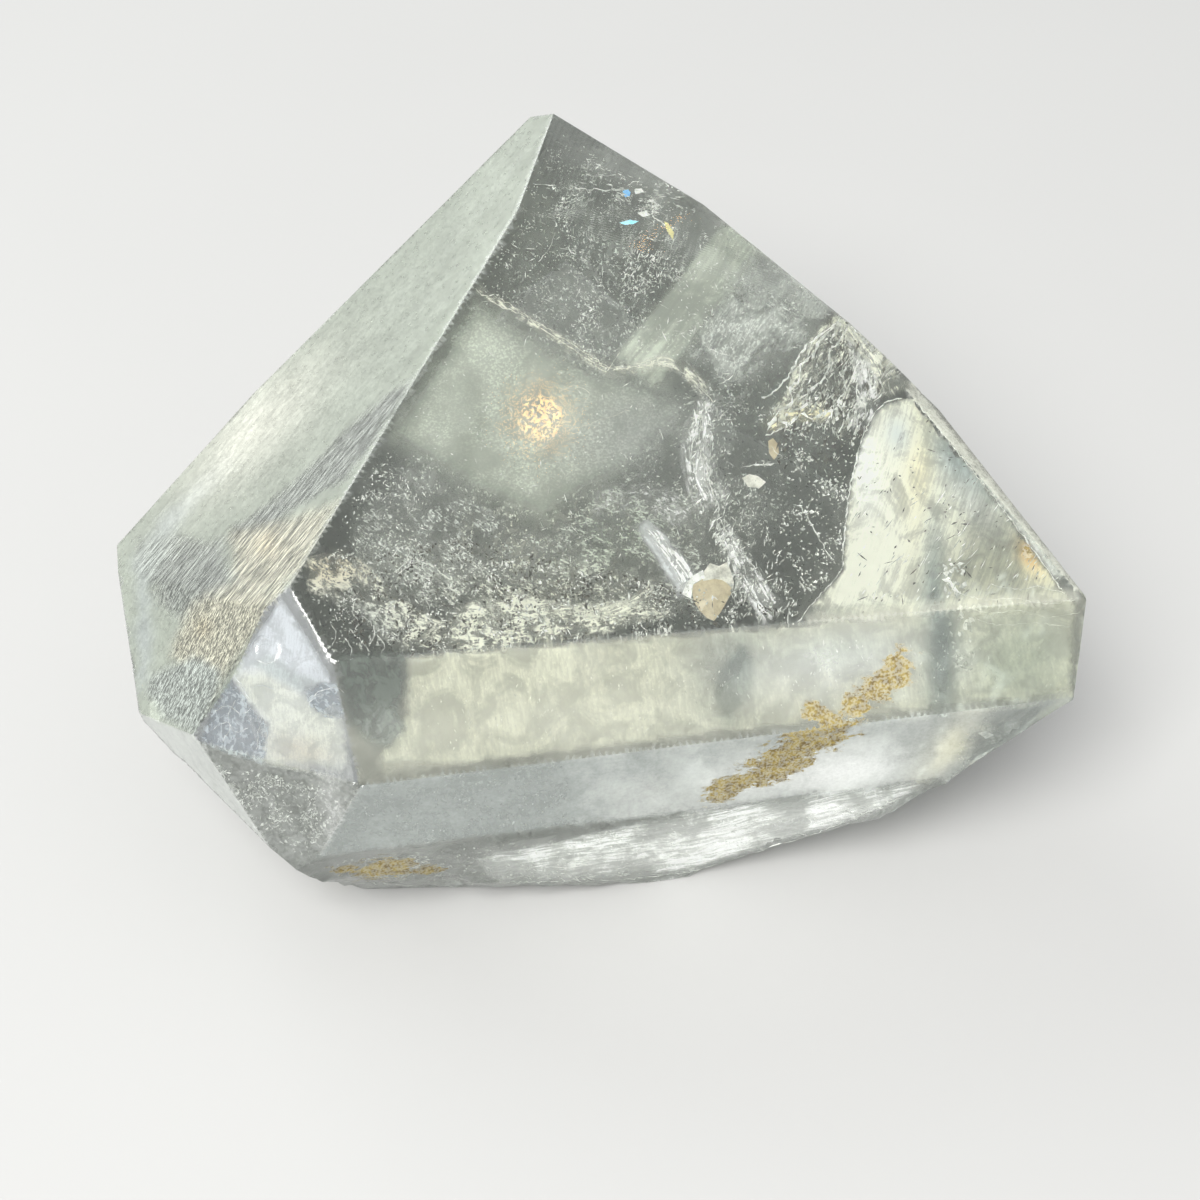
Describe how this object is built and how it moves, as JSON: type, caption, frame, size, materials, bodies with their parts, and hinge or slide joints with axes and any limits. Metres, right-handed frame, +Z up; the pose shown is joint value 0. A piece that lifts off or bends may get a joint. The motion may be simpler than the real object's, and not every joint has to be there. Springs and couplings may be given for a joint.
{
  "type": "topaz crystal",
  "caption": "Loose clear topaz crystal: blunt peaked top of flat grown faces over a rough, undercut broken base with a flat patch it rests on.",
  "frame": {"origin": "middle of the crystal's plan outline, at the height of the flat patch it rests on", "axes": "+X towards the thin right end, along the crystal's longest extent; +Y away from the broad sloping top face; +Z up"},
  "size_m": [0.041, 0.0304, 0.0239],
  "materials": {
    "topaz": "clear crystal, glassy on the grown faces and frosted where broken"
  },
  "bodies": {
    "root": {"topaz_crystal": "topaz"}
  },
  "joints": []
}
